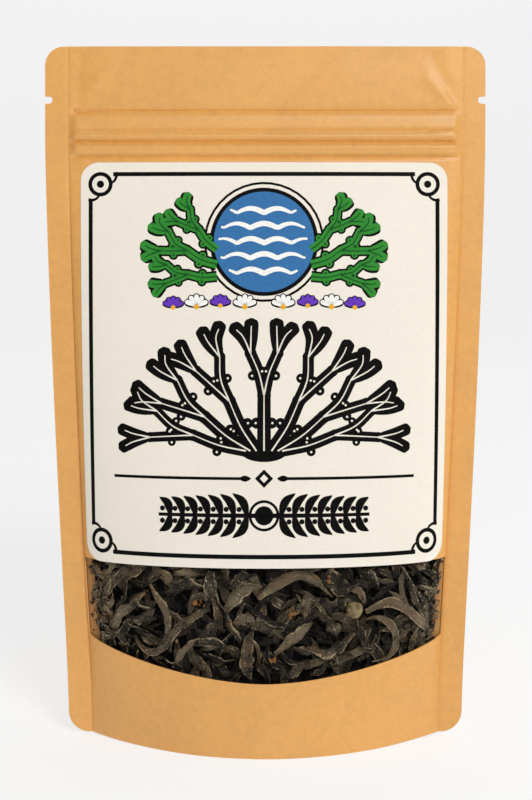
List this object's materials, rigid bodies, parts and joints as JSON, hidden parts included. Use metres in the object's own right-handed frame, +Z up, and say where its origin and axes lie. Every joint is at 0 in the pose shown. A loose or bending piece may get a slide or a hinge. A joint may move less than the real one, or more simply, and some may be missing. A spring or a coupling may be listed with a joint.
{
  "type": "filled stand-up pouch of dried bladderwrack",
  "caption": "Stand-up kraft paper pouch with a press-to-close zip, a label without words and a clear window, filled with dried, cut bladderwrack.",
  "frame": {"origin": "middle of the bounding box at its base, on the surface that the pouch stands on", "axes": "+Z up along the standing pouch, -Y out of the front with the label and the window, +X to the right seen from the front"},
  "size_m": [0.15, 0.0468, 0.2347],
  "materials": {
    "kraft_paper": "matte, uncoated",
    "clear_film": "clear, glossy",
    "label_paper": "smooth, semi-matte",
    "zip_plastic": "milky",
    "dried_bladderwrack": "dry, wrinkled"
  },
  "bodies": {
    "root": {"front_panel": "kraft_paper", "back_panel": "kraft_paper", "bottom_gusset": "kraft_paper", "window_film": "clear_film", "label": "label_paper", "zip_channel": "zip_plastic", "zip_rib": "zip_plastic", "bladderwrack_fill": "dried_bladderwrack"}
  },
  "joints": []
}
